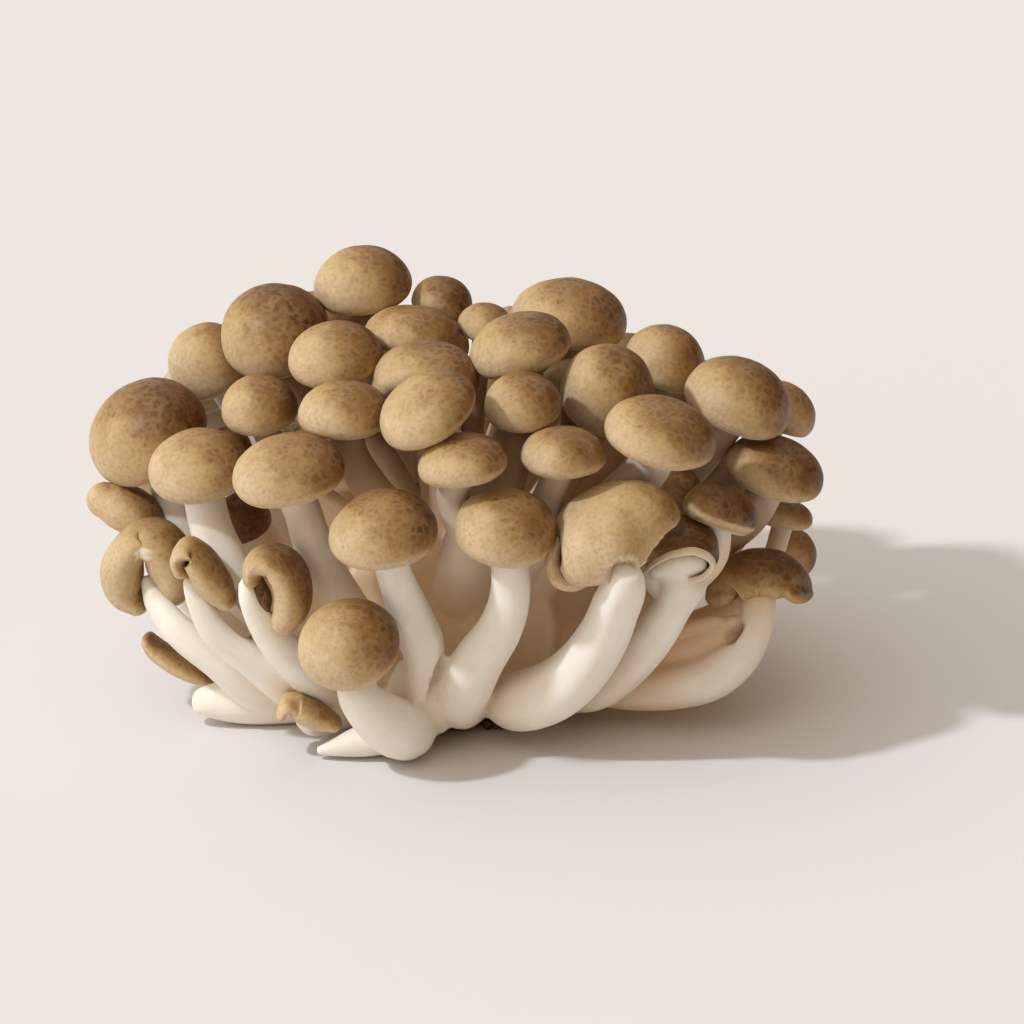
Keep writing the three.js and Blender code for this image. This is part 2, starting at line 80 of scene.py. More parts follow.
# The stems on show, by the names of their caps, from the foot up: x, y, height and radius, in millimetres.
WAYS = {
    "front_01": [
        (-9, -17, 5, 4.6), (-8.2, -25, 5, 4.9), (-9.4, -31, 5.8, 5.1), (-12.6, -35.3, 10, 4.4),
        (-15.6, -37, 14.4, 3.4),
    ],
    "front_02": [
        (-6.6, -29.3, 10.9, 1.7), (-6.1, -29.3, 12.6, 2.4), (-5.8, -29.2, 14.6, 2.85),
        (-5.5, -29.2, 17.6, 3.25), (-5.9, -29.3, 20.2, 3.65), (-6.8, -29.8, 22.8, 3.7),
        (-7.9, -31, 26.4, 3.4), (-9.1, -32, 30.1, 3.05), (-10.1, -33, 33.6, 2.8),
    ],
    "front_03": [
        (1.3, -16, 5, 4.1), (0.0, -25, 8.4, 4.4), (1.2, -28, 12.4, 4.5), (3.4, -30, 17.7, 4.0),
        (6.5, -32, 23.4, 3.5), (7.9, -33, 27.9, 3.3), (8.2, -33.5, 32.3, 3.1),
    ],
    "front_04": [
        (6.1, -16, 6, 4.1), (9.8, -24, 7.7, 4.9), (14.9, -28, 11.1, 4.9), (19.9, -31, 16.9, 4.4),
        (23.0, -32.5, 22.4, 4.1), (24.7, -34, 27.7, 3.8), (25.9, -36.6, 32.0, 3.5),
        (26.2, -37.6, 34.3, 3.1),
    ],
    "front_06": [
        (17.9, -15, 6.0, 3.7), (22.7, -20, 9.0, 3.9), (27.4, -23, 14.2, 3.7), (31.7, -25.5, 20.7, 3.5),
        (34.6, -26.8, 26.2, 3.2), (35.6, -26.5, 29.4, 4.2),
    ],
    "right_05": [
        (21.2, -12, 6.2, 3.6), (29.3, -15, 6.4, 3.8), (35.7, -17, 7.6, 3.8), (41.2, -18, 9.7, 3.7),
        (45.5, -18, 13.4, 3.2), (47.9, -16, 17.7, 2.8),
    ],
    "front_08": [
        (-17.6, -15, 5, 3.6), (-22.1, -22, 9.6, 3.4), (-26.1, -26, 15.7, 3.2), (-29.9, -28.5, 21.2, 2.7),
        (-33.1, -30, 28.0, 1.6), (-33.5, -29.5, 30.3, 1.1),
    ],
    "left_01": [
        (-21.2, -14, 4, 3.6), (-27.3, -20, 8.8, 3.5), (-33.5, -23, 15.4, 3.2), (-38.7, -25, 20.5, 2.5),
        (-41.6, -25.5, 26.2, 1.8), (-42.6, -25.5, 29.0, 1.2),
    ],
    "left_02": [
        (-22, -12, 4, 3.6), (-32.1, -16, 6.1, 3.4), (-39.6, -18, 12.9, 3.1), (-45.0, -17.5, 17.2, 2.7),
        (-49.2, -13, 20.9, 2.0), (-50.6, -11.5, 23.9, 1.1),
    ],
    "left_03": [
        (-13, -8, 5, 4.2), (-24, -11, 4.6, 4.2), (-35, -10, 5, 3.4),
    ],
    "left_05": [
        (-11, -2, 8, 4), (-27, -3, 13, 4.4), (-45, 0, 27, 4),
    ],
    "left_06": [
        (-18, -9, 5, 3.6), (-27.4, -17, 13.9, 3.4), (-32.8, -18.5, 21.7, 3.2), (-36.7, -17, 28.4, 3.4),
        (-39.6, -15, 33.8, 3.4),
    ],
    "shoulder_01": [
        (-9.8, -11, 6, 3.6), (-14.4, -17, 15.6, 3.4), (-19.3, -20, 25.4, 3.2), (-22.8, -22, 33.3, 3.2),
        (-24.7, -23, 40.1, 3.1),
    ],
}
ENDS = ("front_08", "left_01", "left_02", "front_04")  # these taper into the fold of their cap
TURNED_UP = ("left_03", "left_05", "front_01")  # these turn at the top, to meet their cap square on
# Stems and bits of flesh with no cap of their own, written like the ways above.
CAPLESS = [
    # One that broke off short when the cluster was cut, pointing to the front.
    [(-9, -25, 3.8, 3.8), (-14, -28.3, 3.1, 3.0), (-18.5, -29.2, 2.3, 1.9), (-22.4, -29.4, 1.5, 0.7)],
    # A thin one beside the foot of front_02.
    [(-10.4, -28.3, 9.4, 1.1), (-10, -28.2, 11, 1.6), (-9.4, -28, 13, 1.6), (-8.6, -27.5, 15.5, 1.2)],
    # Another short one, lying on the floor at the left.
    [(-18, -13, 4.6, 4.4), (-28, -14, 4.2, 4.2), (-37, -14.6, 4, 3.6), (-42, -15, 3.9, 2.4)],
    # The flesh that shows inside the rolled margin of front_06.
    [(31.0, -28.3, 31.9, 1.2), (33.4, -28.9, 33.0, 2.0), (36, -29, 33.4, 2.3), (38.0, -28.8, 33.4, 1.8)],
    # Flesh that joins the feet of front_01, front_02 and front_03.
    [(-5.6, -26.5, 11.6, 1.6), (-4.9, -28, 9.4, 2.0), (-4.2, -27.5, 7.4, 2.2), (-3.6, -25.5, 5.0, 2.4)],
    # A short one at the right, and thin ones deep inside, some of which never grew a cap.
    [(22, -10, 9, 3), (32, -12, 13.5, 2.4), (38, -13, 15.8, 1.8), (42, -13.5, 17.5, 1.1)],
    [(12, 4, 18, 2.6), (19, 9, 30, 2.7), (25, 13.5, 39, 2.8), (28, 15, 42.5, 2.2)],
    [(22, -5, 16, 2.6), (32, -8, 26, 2.4), (40, -9.3, 35, 2.2), (42.5, -9.8, 38.5, 1.6)],
    [(16, 8, 16, 2.6), (22, 12, 26, 2.8), (26.3, 15, 33, 3.0), (28, 20, 40, 2.4)],
    [(26, 6, 16, 2.6), (35, 9, 26, 2.8), (40.3, 11, 33, 2.8), (43, 14, 38.5, 2.4)],
    [(24, -10, 8, 3.2), (32, -12.5, 10.5, 3.2), (38.3, -13.5, 12.9, 2.9), (42.6, -13.6, 15.6, 2.1),
     (44.6, -13.6, 17.6, 1.2)],
    [(30, 0, 12, 2.8), (39, 0, 20, 2.5), (45.5, 0.5, 27, 2.0), (47.3, 0.5, 29.3, 1.2)],
]
CAPLESS_SEED = 80  # keeps their unevenness apart from that of the other stems
# Slits where two stems lean on each other without touching all the way, pressed in and given painted shade:
# the middle, which way it runs, half its length, half its width, all in millimetres, and how much shade is
# painted in it.
SLITS = [
    ((-34.7, -20.0, 21.8), (0.5, 0.0, -0.87), 6.5, 3.0, 1.0),
    ((44.2, -17.4, 17.0), (0.6, 0.1, 0.79), 2.6, 1.2, 1.0),
    ((-3.4, -30.4, 14.8), (-0.3, 0.0, -0.95), 5.2, 0.9, 0.6),
]
SLIT_DEPTH = 1.1 * MM
SLIT_STEEPNESS = 2.4
SLIT_SQUEEZE = 0.45  # a slit reaches further from front to back than it is wide, by one over this


class Wire:
    """A socket of a material's nodes. Sums and products of wires add Math nodes."""

    def __init__(self, tree, socket=None):
        self.tree = tree
        self.socket = socket

    def add(self, kind, output=0, settings=None, **values):
        """A new node of that kind, with its settings made first. Gives the wire of one of its outputs."""
        node = self.tree.nodes.new("ShaderNode" + kind)
        for name, value in (settings or {}).items():
            setattr(node, name, value)
        for name, value in values.items():
            key = int(name[1:]) if name[1:].isdigit() else name.replace("_", " ")
            if isinstance(value, Wire):
                self.tree.links.new(value.socket, node.inputs[key])
            else:
                node.inputs[key].default_value = value
        return Wire(self.tree, node.outputs[output])

    def math(self, operation, first, second=0.0):
        return self.add("Math", 0, {"operation": operation}, _0=first, _1=second)

    def __add__(self, other):
        return self.math("ADD", self, other)

    def __radd__(self, other):
        return self.math("ADD", other, self)

    def __sub__(self, other):
        return self.math("SUBTRACT", self, other)

    def __rsub__(self, other):
        return self.math("SUBTRACT", other, self)

    def __mul__(self, other):
        return self.math("MULTIPLY", self, other)

    def __rmul__(self, other):
        return self.math("MULTIPLY", other, self)

    def __pow__(self, other):
        return self.math("POWER", self, other)

    def rising(self, low, high):
        """0 below low, 1 above high, and an eased step between."""
        settings = {"interpolation_type": "SMOOTHSTEP"}
        return self.add("MapRange", 0, settings, Value=self, From_Min=low, From_Max=high)

    def blend(self, first, second):
        """A colour that goes from the first to the second as this wire goes from 0 to 1."""
        return self.add("Mix", 2, {"data_type": "RGBA"}, _0=self, _6=first, _7=second)


def finish_named(name, **constants):
    """A new material with its shader's unchanging values set, a first wire of its nodes, and the shader."""
    material = bpy.data.materials.new(name)
    material.use_nodes = True
    shader = material.node_tree.nodes["Principled BSDF"]
    for key, value in constants.items():
        shader.inputs[key.replace("_", " ")].default_value = value
    return material, Wire(material.node_tree), shader


def plug(wire, shader, socket):
    wire.tree.links.new(wire.socket, shader.inputs[socket])


def welded(node):
    """A CAD node's form, with the copies of its corners joined."""
    form = bmesh.new()
    form.from_mesh(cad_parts[node].data)
    bmesh.ops.remove_doubles(form, verts=form.verts, dist=0.01 * MM)
    return form


def seat_of(node):
    """Where a cap sits: the middle of its widest ring, its axis, its radius and its whole thickness."""
    form = welded(node)
    poles = sorted(form.verts, key=lambda vert: len(vert.link_edges))[-2:]
    middle = sum((vert.co for vert in form.verts), Vector()) / len(form.verts)
    hollow, crown = sorted((vert.co.copy() for vert in poles), key=lambda co: (co - middle).length)
    axis = (crown - hollow).normalized()
    thick = (crown - hollow).length / (DOME_SHARE + HOLLOW_SHARE)
    centre = crown - axis * DOME_SHARE * thick
    sides = max(len(vert.link_edges) for vert in form.verts)
    reach = sorted((vert.co - centre - axis * (vert.co - centre).dot(axis)).length for vert in form.verts)
    radius = sum(reach[-sides:]) / sides
    form.free()
    return {"node": node, "centre": centre, "axis": axis, "radius": radius, "thick": thick}


seats = [seat_of(node) for node in sorted(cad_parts) if node.startswith("cap_")]


def coordinates(mesh):
    points = np.empty(len(mesh.vertices) * 3)
    mesh.vertices.foreach_get("co", points)
    return points.reshape(-1, 3)


def normals(mesh):
    directions = np.empty(len(mesh.vertices) * 3)
    mesh.vertices.foreach_get("normal", directions)
    return directions.reshape(-1, 3)


def put_back(mesh, points):
    mesh.vertices.foreach_set("co", points.ravel())
    mesh.update()


def add_value(mesh, name, values):
    """Gives each point of a mesh a number that a material can read."""
    layer = mesh.attributes.new(name, "FLOAT", "POINT")
    layer.data.foreach_set("value", np.asarray(values, dtype=np.float32))


def ramp(values, low, high):
    """0 at low, 1 at high and in proportion between them, for each value of an array."""
    return np.clip((values - low) / (high - low), 0, 1)


def mesh_from(form, name):
    """A new mesh with the faces of a bmesh, which it frees."""
    mesh = bpy.data.meshes.new(name)
    form.to_mesh(mesh)
    form.free()
    return mesh


def in_scene(name, data):
    """A new object in the scene, for a mesh, a lamp or a lens."""
    holder = bpy.data.objects.new(name, data)
    bpy.context.scene.collection.objects.link(holder)
    return holder


def piece_from(mesh, name, material):
    """An object for a mesh, in the scene, shaded smooth and riding on the root."""
    piece = in_scene(name, mesh)
    mesh.materials.clear()
    mesh.materials.append(material)
    mesh.shade_smooth()
    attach(piece, "root")
    return piece


def with_modifiers(form, steps):
    """The mesh that comes out of a bmesh after a list of modifiers, each a type and its settings."""
    holder = in_scene("step", mesh_from(form, "step"))
    for kind, settings in steps:
        modifier = holder.modifiers.new(kind.lower(), kind)
        for name, value in settings.items():
            setattr(modifier, name, value)
    shaped = holder.evaluated_get(bpy.context.evaluated_depsgraph_get())
    result = bpy.data.meshes.new_from_object(shaped)
    bpy.data.objects.remove(holder)
    return result


def eased(value, low, high):
    """0 below low, 1 above high, and an eased step between."""
    share = min(1.0, max(0.0, (value - low) / (high - low)))
    return share * share * (3 - 2 * share)


def plain_way(seat):
    """A stem leaves the foot outwards and turns up to meet its cap square on: six points in metres."""
    centre = seat["centre"]
    high = eased(centre.z / MM, LOW_CAP, HIGH_CAP)
    root = Vector((centre.x * ROOT_SHARES[0], centre.y * ROOT_SHARES[1], (5 + 22 * high) * MM))
    if seat["node"] == "cap_front_05":
        root = FRONT_05_ROOT
    top = centre - seat["axis"] * STEM_SEAT * seat["thick"]
    way = top - root
    out = 0.2 + 0.5 * (1 - high)
    first = root + Vector((way.x * out, way.y * out, way.z * (0.05 + 0.35 * high)))
    second = top - seat["axis"] * 0.34 * way.length
    outer = math.hypot(centre.x / 0.050, centre.y / 0.036) > 0.75 or centre.z < 46 * MM
    heel = (OUTER_HEEL if outer else INNER_HEEL) * MM * min(1, seat["radius"] / SMALL_CAP)
    neck = seat["radius"] * NECK_SHARE
    points = []
    for step in range(6):
        t = step / 5
        place = root * (1 - t) ** 3 + first * 3 * t * (1 - t) ** 2
        place = place + second * 3 * t * t * (1 - t) + top * t ** 3
        radius = max(heel, neck) + (neck - max(heel, neck)) * eased(t, 0.15, 0.85)
        points.append([place, radius])
    return points


def bend_clear(points, own):
    """Moves the middle points of a stem out of the caps that are in its way."""
    for _ in range(12):
        for i in range(1, len(points) - 1):
            place, radius = points[i]
            along = (points[i + 1][0] - points[i - 1][0]).normalized()
            for seat in seats:
                if seat["node"] == own:
                    continue
                middle = seat["centre"] + seat["axis"] * 0.2 * seat["thick"]
                way = place - middle
                up = way.dot(seat["axis"])
                flat = math.sqrt(max(0.0, way.length_squared - up * up))
                deep = seat["thick"] / 2 + radius + CLEARANCE
                depth = 1 - math.hypot(up / deep, flat / (seat["radius"] + radius + CLEARANCE))
                if depth > 0:
                    away = (way - along * way.dot(along)).normalized()
                    place += away * min(MM, depth * deep)
            place.z = max(place.z, radius * 0.92)
    return points


def in_metres(way):
    """A way of x, y, height and radius in millimetres, as points of place and radius."""
    return [[Vector((x, y, z)) * MM, radius * MM] for x, y, z, radius in way]


def smooth_way(points, gap):
    """A curve through points of place and radius, as evenly spaced rows of x, y, z and radius."""
    knots = np.array([[*place, radius] for place, radius in points])
    knots = np.vstack([2 * knots[0] - knots[1], knots, 2 * knots[-1] - knots[-2]])
    fine = []
    for before, start, end, after in zip(knots, knots[1:], knots[2:], knots[3:]):
        pairs = ((before, start), (start, end), (end, after))
        one, two, three = (max(1e-6, np.linalg.norm((b - a)[:3])) ** 0.5 for a, b in pairs)
        leave = (start - before) / one - (end - before) / (one + two) + (end - start) / two
        arrive = (end - start) / two - (after - start) / (two + three) + (after - end) / three
        leave, arrive = leave * two, arrive * two
        for t in np.linspace(0, 1, 16, endpoint=False):
            fine.append(
                start * (2 * t**3 - 3 * t**2 + 1) + end * (3 * t**2 - 2 * t**3)
                + leave * (t**3 - 2 * t**2 + t) + arrive * (t**3 - t**2)
            )
    fine = np.array(fine + [knots[-2]])
    run = np.concatenate([[0], np.cumsum(np.linalg.norm(np.diff(fine[:, :3], axis=0), axis=1))])
    even = np.linspace(0, run[-1], max(8, round(run[-1] / gap)))
    return np.stack([np.interp(even, run, column) for column in fine.T], axis=1)


def join_rings(form, rings, closed=True):
    """Faces between each ring of corners and the next, and over both ends if it is closed."""
    for near, far in zip(rings, rings[1:]):
        for k in range(len(near)):
            after = (k + 1) % len(near)
            form.faces.new((near[k], near[after], far[after], far[k]))
    if closed:
        form.faces.new(rings[0][::-1])
        form.faces.new(rings[-1])


def stem_tube(form, rows, number, records):
    """Adds one closed stem along rows of x, y, z and radius. Notes each point's place along and round it."""
    tangents = np.gradient(rows[:, :3], axis=0)
    side = Vector(tangents[0]).orthogonal().normalized()
    rings = []
    length = 0.0
    for i, (row, tangent) in enumerate(zip(rows, tangents)):
        tangent = Vector(tangent).normalized()
        side = (side - tangent * side.dot(tangent)).normalized()
        other = tangent.cross(side)
        middle = Vector(row[:3])
        if i:
            length += float(np.linalg.norm(rows[i, :3] - rows[i - 1, :3]))
        ring = []
        for k in range(STEM_SIDES):
            turn = 2 * math.pi * k / STEM_SIDES
            out = side * math.cos(turn) + other * math.sin(turn)
            lobes = Vector((math.cos(turn), math.sin(turn), length / SWELL_LENGTH + number * 9.1))
            ridge = Vector((math.cos(turn) * 3.2, math.sin(turn) * 3.2, length / RIDGE_LENGTH + number * 5.3))
            swell = 1 + STEM_SWELL * noise.noise(lobes * 1.1) + STEM_RIDGES * noise.noise(ridge)
            vert = form.verts.new(middle + out * (row[3] * swell))
            ring.append(vert)
            records.append((vert.co.copy(), (math.cos(turn) * row[3], math.sin(turn) * row[3], length)))
        rings.append(ring)
    join_rings(form, rings, closed=False)
    ends = ((rings[0], rows[0], tangents[0], -1), (rings[-1], rows[-1], tangents[-1], 1))
    for ring, row, tangent, way in ends:
        tangent = Vector(tangent).normalized() * way
        middle = Vector(row[:3])
        tip = form.verts.new(middle + tangent * row[3] * 0.75)
        inner = []
        for vert in ring:
            inner.append(form.verts.new(middle + (vert.co - middle) * 0.72 + tangent * row[3] * 0.5))
        for k in range(STEM_SIDES):
            after = (k + 1) % STEM_SIDES
            quad = (ring[k], ring[after], inner[after], inner[k])
            cap = (inner[k], inner[after], tip)
            form.faces.new(quad if way > 0 else quad[::-1])
            form.faces.new(cap if way > 0 else cap[::-1])


def add_foot(form):
    """The lowest parts of the stems, grown together: a mound with a fold between each stem and the next."""
    rings = []
    for up, share in FOOT_LEVELS:
        ring = []
        for k in range(FOOT_SIDES):
            turn = 2 * math.pi * k / FOOT_SIDES
            fold = 1 - FOOT_FOLD_DEPTH * (0.5 - 0.5 * math.cos(FOOT_FOLDS * turn)) ** 0.7
            x = share * fold * FOOT_HALF_WIDTH * MM * math.cos(turn)
            y = share * fold * FOOT_HALF_DEPTH * MM * math.sin(turn)
            ring.append(form.verts.new((x, y, up * MM)))
        rings.append(ring)
    join_rings(form, rings)


def polished(mesh, rounds):
    """Takes the steps out of a remeshed form without shrinking it."""
    points = coordinates(mesh)
    ends = np.empty(len(mesh.edges) * 2, dtype=np.int64)
    mesh.edges.foreach_get("vertices", ends)
    one, two = ends.reshape(-1, 2).T
    count = np.bincount(np.concatenate([one, two]), minlength=len(points))[:, None]
    for turn in range(2 * rounds):
        total = np.stack([
            np.bincount(one, column[two], len(points)) + np.bincount(two, column[one], len(points))
            for column in points.T
        ], axis=1)
        points += (total / count - points) * (0.5 if turn % 2 == 0 else -0.52)  # in, then out again
    return points


stem_form = bmesh.new()
grain_records = []
for number, seat in enumerate(seats):
    name = seat["node"].removeprefix("cap_")
    if name in WAYS:
        top = seat["centre"] - seat["axis"] * STEM_SEAT * seat["thick"]
        neck = seat["radius"] * NECK_SHARE
        points = in_metres(WAYS[name])
        if name in TURNED_UP:
            points.append([top - seat["axis"] * 0.5 * seat["radius"], (points[-1][1] + neck) / 2])
        if name not in ENDS:
            points.append([top, FRONT_06_TOP if name == "front_06" else min(neck, points[-1][1] * 1.05)])
    else:
        points = bend_clear(plain_way(seat), seat["node"])
    stem_tube(stem_form, smooth_way(points, STEM_GAP), number, grain_records)
for number, way in enumerate(CAPLESS):
    stem_tube(stem_form, smooth_way(in_metres(way), STEM_GAP), CAPLESS_SEED + number, grain_records)
add_foot(stem_form)

# They are grown into one skin, and its faces are thinned out to the number allowed.
stem_mesh = with_modifiers(stem_form, [("REMESH", {"mode": "VOXEL", "voxel_size": STEM_VOXEL})])
stem_points = polished(stem_mesh, rounds=7)
stem_points[:, 2] = np.maximum(stem_points[:, 2], 0.0)
put_back(stem_mesh, stem_points)
stem_form = bmesh.new()
stem_form.from_mesh(stem_mesh)
share = STEM_FACES / (2 * len(stem_mesh.polygons))
stem_mesh = with_modifiers(stem_form, [("DECIMATE", {"ratio": min(1.0, share)})])
stem_points = coordinates(stem_mesh)
slit = np.zeros(len(stem_points))
slit_shade = np.zeros(len(stem_points))
for middle, run, length, width, darkness in SLITS:
    off = stem_points / MM - np.array(middle)
    lengthwise = off @ np.array(run)
    sideways = off - np.outer(lengthwise, run)
    sideways[:, 1] *= SLIT_SQUEEZE
    distance = np.hypot(lengthwise / length, np.linalg.norm(sideways, axis=1) / width)
    push = np.clip(SLIT_STEEPNESS * (1 - distance), 0, 1)
    slit = np.maximum(slit, push)
    slit_shade = np.maximum(slit_shade, push * darkness)
stem_points -= normals(stem_mesh) * (SLIT_DEPTH * slit)[:, None]
put_back(stem_mesh, stem_points)

# Each point takes its grain from the nearest point of the single stems.
tree = kdtree.KDTree(len(grain_records))
for index, (place, _) in enumerate(grain_records):
    tree.insert(place, index)
tree.balance()
nearest = [tree.find(point)[1] for point in stem_points]
grain = stem_mesh.attributes.new("grain", "FLOAT_VECTOR", "POINT")
grain.data.foreach_set("vector", np.array([grain_records[i][1] for i in nearest], dtype=np.float32).ravel())
# Painted shade: the flesh is tinted warmer where the stems shade each other and at the right, where they lie
# in the cluster's shadow. It is painted brown high up between them, in the crowd behind the torn cap, and in
# the slits.
x, y, z = stem_points.T / MM
reach = np.hypot(x / CROWD_HALF_WIDTH, y / CROWD_HALF_DEPTH)
high = ramp(z, 30, 48)
right_shade = ramp(x, 14, 34) * (1 - high) * (0.25 + 0.6 * ramp(y, -21, -16))
crowd_shade = 0.85 * ramp(x, 26, 34) * ramp(z, 22, 31) * ramp(y, -16, -11) * ramp(reach, 1.1, 0.95)
add_value(stem_mesh, "warm_shade", np.clip((0.88 + 0.1 * high - reach) / 0.5 + right_shade, 0, 1))
# Painted shade: brown where the stems lie deep between the caps, in the crowd behind the torn cap, and in the
# slits.
add_value(stem_mesh, "deep", np.maximum(high * ramp(reach, 0.9, 0.6), np.maximum(crowd_shade, slit_shade)))


def stem_finish():
    material, start, shader = finish_named(
        "stem_flesh", Roughness=0.62, Subsurface_Weight=0.3, Subsurface_Scale=0.003,
        Subsurface_Radius=(1.0, 0.65, 0.4), Specular_IOR_Level=0.22,
    )
    place = start.add("NewGeometry", "Position")
    grain = start.add("Attribute", "Vector", {"attribute_name": "grain"})
    warm_shade = start.add("Attribute", "Fac", {"attribute_name": "warm_shade"})
    deep = start.add("Attribute", "Fac", {"attribute_name": "deep"})
    cloud = start.add("TexNoise", "Fac", Vector=place, Scale=110, Detail=3)
    fibre_way = start.add("VectorMath", 0, {"operation": "MULTIPLY"}, _0=grain, _1=(1500, 1500, 90))
    fibres = start.add("TexNoise", "Fac", Vector=fibre_way, Scale=1, Detail=3)
    crease_way = start.add("VectorMath", 0, {"operation": "MULTIPLY"}, _0=grain, _1=(520, 520, 45))
    creases = start.add("TexNoise", "Fac", Vector=crease_way, Scale=1, Detail=2)
    cream = (0.87, 0.805, 0.70, 1)
    white = (0.93, 0.885, 0.80, 1)
    streak = (0.70, 0.58, 0.44, 1)
    warm = (0.87, 0.65, 0.41, 1)
    brown = (0.27, 0.14, 0.055, 1)
    flesh = cloud.rising(0.3, 0.7).blend(cream, white)
    flesh = (fibres.rising(0.5, 0.8) * 0.16).blend(flesh, streak)
    # Painted shade: a warm tint where the stems shade each other, and brown deep between them and in the
    # slits.
    flesh = (warm_shade * 0.9).blend(flesh, warm)
    flesh = (deep * 0.8).blend(flesh, brown)
    plug(flesh, shader, "Base Color")
    relief = start.add("Bump", Strength=0.5, Distance=0.25 * MM, Height=creases + fibres * 0.3)
    plug(relief, shader, "Normal")
    return material


stems = piece_from(stem_mesh, "stems", stem_finish())
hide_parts("stem_cluster")

# ---- Folded caps ----
# Low on the sides of the cluster there was no room for a cap to open, so it grew folded over its stem: a
# thick, rounded lobe that is bent like a saddle, in the same thin satin skin as the others.

FOLD_SIDES = 44
FOLD_ROWS = 64
TRIM_SIDES = 24
LOBE_GAP = 0.2 * MM
LOBE_END_TURNS = (20, 40, 58, 73, 84)  # the rings that round off each end, in degrees
LOBE_END_DEPTH = 0.6  # how deep the lobe is at its ends, as a share of its middle
# The way along the fold of each: x, y, height and half the lobe's width, in millimetres. Then half its length
# from front to back, and which way that length runs.
FOLDS = {
    "front_08": ([
        (-32.4, -29.5, 31.2, 1.42), (-31.8, -29.5, 33.4, 1.89), (-29.5, -29.5, 34.1, 2.36),
        (-27.1, -29.5, 32.3, 2.83), (-26.0, -29.5, 29.1, 2.99), (-26.4, -29.5, 26.0, 2.84),
        (-27.4, -29.5, 23.8, 2.21),
    ], 5.4, (0.15, 1, 0)),
    "left_01": ([
        (-43.8, -26, 30.9, 1.19), (-44.1, -25.5, 32.9, 1.42), (-42.8, -25, 33.9, 1.5),
        (-41.2, -25, 32.4, 2.22), (-39.4, -25, 29.5, 2.7), (-37.7, -25, 27.0, 2.38),
        (-36.8, -25, 25.8, 1.59),
    ], 4.6, (0.1, 1, 0.1)),
    "left_02": ([
        (-52.2, -10, 19.6, 1.95), (-54.1, -10, 21.5, 3.09), (-54.7, -10, 24.9, 3.45),
        (-53.8, -10, 28.1, 3.0), (-51.2, -9, 30.4, 2.43), (-48.3, -10, 29.5, 3.24),
        (-46.8, -10, 26.2, 4.0), (-46.1, -10, 22.4, 2.76), (-46.1, -10, 21.2, 1.95),
    ], 6, (0.1, 1, 0.1)),
    "left_03": ([
        (-51.0, -9, 12.4, 0.98), (-49.4, -9, 10.6, 1.47), (-46.5, -9, 8.7, 1.7), (-43.3, -9, 6.8, 1.5),
        (-40.2, -9, 5.3, 0.85),
    ], 3.4, (0.3, 1, 0)),
    "left_04": ([
        (-58.0, -2, 34.2, 2.94), (-56.0, -2, 33.5, 3.76), (-53.1, -2, 32.1, 3.6), (-50.2, -2, 30.2, 2.62),
        (-49.0, -2, 29.4, 1.8),
    ], 5, (0, 1, 0)),
    "front_05": ([
        (-28.3, -27.5, 7.2, 0.88), (-27.5, -27.5, 8.6, 1.04), (-25.9, -27, 8.2, 1.92),
        (-23.6, -27, 7.0, 2.24), (-21.3, -27, 5.8, 1.76), (-20, -27, 5.2, 1.2),
    ], 3.8, (0, 1, 0)),
    "right_05": ([
        (42.4, -11, 20.7, 1.63), (43.3, -10, 21.9, 2.76), (45.2, -9.5, 23.1, 3.41), (48.3, -9, 24.2, 3.0),
        (51.7, -9.5, 23.8, 3.3), (54.0, -10, 22.4, 2.92), (55.0, -11, 21.3, 1.79),
    ], 6, (0, 1, 0.2)),
    "front_06": ([
        (30.1, -24, 31.9, 1.5), (31.8, -23.5, 33.8, 2.1), (34.5, -23, 35.2, 2.2), (37.4, -23, 35.0, 2.0),
        (39.4, -23, 33.6, 1.6), (40.1, -23, 32.0, 1.2),
    ], 6, (0.1, 1, 0.25)),
    "crown_05": ([
        (-12.1, -9, 56.2, 1.92), (-11.0, -9, 57.8, 2.72), (-8.6, -9, 59.3, 3.15), (-5.5, -9, 59.9, 3.0),
        (-2.2, -9, 59.5, 3.05), (0.4, -9, 58.2, 2.6), (1.5, -9, 56.9, 1.8),
    ], 6.6, (0, 1, 0.1)),
}
SPLIT_AT = (-51.0, -13, 29.6)  # where the skin of left_02 is split: x, how far forward at least, and height
SPLIT_RADIUS = 1.1


def cells(place, scale):
    """A pattern of small plates: the distance from their edges, and a chance tone for each plate."""
    edges = place.add("TexVoronoi", "Distance", {"feature": "DISTANCE_TO_EDGE"}, Vector=place, Scale=scale)
    tones = place.add("TexVoronoi", "Color", {"feature": "F1"}, Vector=place, Scale=scale)
    return edges, place.add("SeparateColor", Color=tones)


